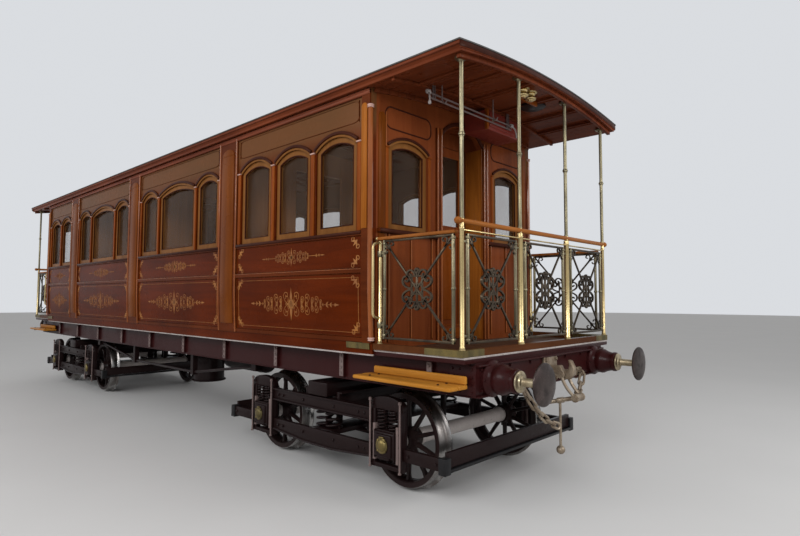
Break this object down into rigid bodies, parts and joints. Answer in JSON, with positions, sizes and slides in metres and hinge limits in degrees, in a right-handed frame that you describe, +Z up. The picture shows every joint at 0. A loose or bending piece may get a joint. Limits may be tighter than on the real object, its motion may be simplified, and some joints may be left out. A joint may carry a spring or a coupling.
{
  "type": "passenger coach",
  "caption": "Varnished wooden railway coach with open end platforms, scrolled brass balustrades, arched windows, side buffers and two bogies.",
  "frame": {"origin": "middle of the coach, on the plane of the lowest points of the wheel flanges", "axes": "+X along the coach to the end seen in the picture, +Y across, +Z up"},
  "size_m": [11.708, 2.668, 3.5256],
  "materials": {
    "maroon_steel": "gloss maroon paint",
    "black_iron": "dark brown paint, satin",
    "wheel_steel": "dark paint, bright tyre edge",
    "floor_boards": "worn boards",
    "orange_wood": "varnished",
    "old_brass": "aged brass",
    "bronze": "dark bronze",
    "yellow_wood": "yellow varnish",
    "mahogany": "varnished mahogany",
    "dark_mahogany": "varnished dark mahogany",
    "sash_wood": "light varnished wood",
    "roof_canvas": "tarred canvas",
    "bench_leather": "dark red leather",
    "rusty_iron": "bare iron with light rust",
    "glass": "clear"
  },
  "bodies": {
    "coach": {"underframe": "maroon_steel", "truss_rods": "black_iron", "brake_gear": "black_iron", "floor": "floor_boards", "platform_edging": "orange_wood", "edging_corner_plates": "old_brass", "steps": "yellow_wood", "side_wall_right": "mahogany", "side_wall_left": "mahogany", "body_mouldings": "dark_mahogany", "window_sashes": "sash_wood", "window_glass": "glass", "end_wall_near": "mahogany", "end_wall_far": "mahogany", "roof_boards": "dark_mahogany", "roof_cover": "roof_canvas", "partitions": "mahogany", "benches": "bench_leather", "poles": "old_brass", "end_handrails": "orange_wood", "end_panels": "bronze", "buffer_housings": "maroon_steel", "buffer_heads": "black_iron", "couplings": "rusty_iron", "side_chains": "rusty_iron", "platform_fittings": "mahogany"},
    "door_near": {"door_near": "mahogany", "door_glass_near": "glass"},
    "side_gate_near_right": {"side_gate_near_right": "bronze", "gate_rail_near_right": "sash_wood"},
    "side_gate_near_left": {"side_gate_near_left": "bronze", "gate_rail_near_left": "sash_wood"},
    "bogie_near": {"bogie_frame_near": "black_iron", "axleboxes_near": "black_iron"},
    "wheelset_near_outer": {"wheelset_near_outer": "wheel_steel"},
    "wheelset_near_inner": {"wheelset_near_inner": "wheel_steel"},
    "door_far": {"door_far": "mahogany", "door_glass_far": "glass"},
    "side_gate_far_right": {"side_gate_far_right": "bronze", "gate_rail_far_right": "sash_wood"},
    "side_gate_far_left": {"side_gate_far_left": "bronze", "gate_rail_far_left": "sash_wood"},
    "bogie_far": {"bogie_frame_far": "black_iron", "axleboxes_far": "black_iron"},
    "wheelset_far_outer": {"wheelset_far_outer": "wheel_steel"},
    "wheelset_far_inner": {"wheelset_far_inner": "wheel_steel"}
  },
  "joints": [
    {"name": "door_near_swing", "type": "hinge", "parent": "coach", "child": "door_near", "pos_m": [4.22, 0.3145, 1.4], "axis": [0, 0, -1], "range_deg": [0, 95]},
    {"name": "side_gate_near_right_swing", "type": "hinge", "parent": "coach", "child": "side_gate_near_right", "pos_m": [4.549, 1.18, 1.4], "axis": [0, 0, -1], "range_deg": [0, 90]},
    {"name": "side_gate_near_left_swing", "type": "hinge", "parent": "coach", "child": "side_gate_near_left", "pos_m": [4.549, -1.18, 1.4], "axis": [0, 0, 1], "range_deg": [0, 90]},
    {"name": "bogie_near_swivel", "type": "hinge", "parent": "coach", "child": "bogie_near", "pos_m": [3.565, 0, 0.921], "axis": [0, 0, 1], "range_deg": [-5, 5]},
    {"name": "wheelset_near_outer_spin", "type": "hinge", "parent": "bogie_near", "child": "wheelset_near_outer", "pos_m": [4.475, 0, 0.428], "axis": [0, 1, 0], "continuous": true},
    {"name": "wheelset_near_inner_spin", "type": "hinge", "parent": "bogie_near", "child": "wheelset_near_inner", "pos_m": [2.655, 0, 0.428], "axis": [0, 1, 0], "continuous": true},
    {"name": "door_far_swing", "type": "hinge", "parent": "coach", "child": "door_far", "pos_m": [-4.22, -0.3145, 1.4], "axis": [0, 0, -1], "range_deg": [0, 95]},
    {"name": "side_gate_far_right_swing", "type": "hinge", "parent": "coach", "child": "side_gate_far_right", "pos_m": [-4.549, 1.18, 1.4], "axis": [0, 0, 1], "range_deg": [0, 90]},
    {"name": "side_gate_far_left_swing", "type": "hinge", "parent": "coach", "child": "side_gate_far_left", "pos_m": [-4.549, -1.18, 1.4], "axis": [0, 0, -1], "range_deg": [0, 90]},
    {"name": "bogie_far_swivel", "type": "hinge", "parent": "coach", "child": "bogie_far", "pos_m": [-3.565, 0, 0.921], "axis": [0, 0, 1], "range_deg": [-5, 5]},
    {"name": "wheelset_far_outer_spin", "type": "hinge", "parent": "bogie_far", "child": "wheelset_far_outer", "pos_m": [-4.475, 0, 0.428], "axis": [0, 1, 0], "continuous": true},
    {"name": "wheelset_far_inner_spin", "type": "hinge", "parent": "bogie_far", "child": "wheelset_far_inner", "pos_m": [-2.655, 0, 0.428], "axis": [0, 1, 0], "continuous": true}
  ]
}
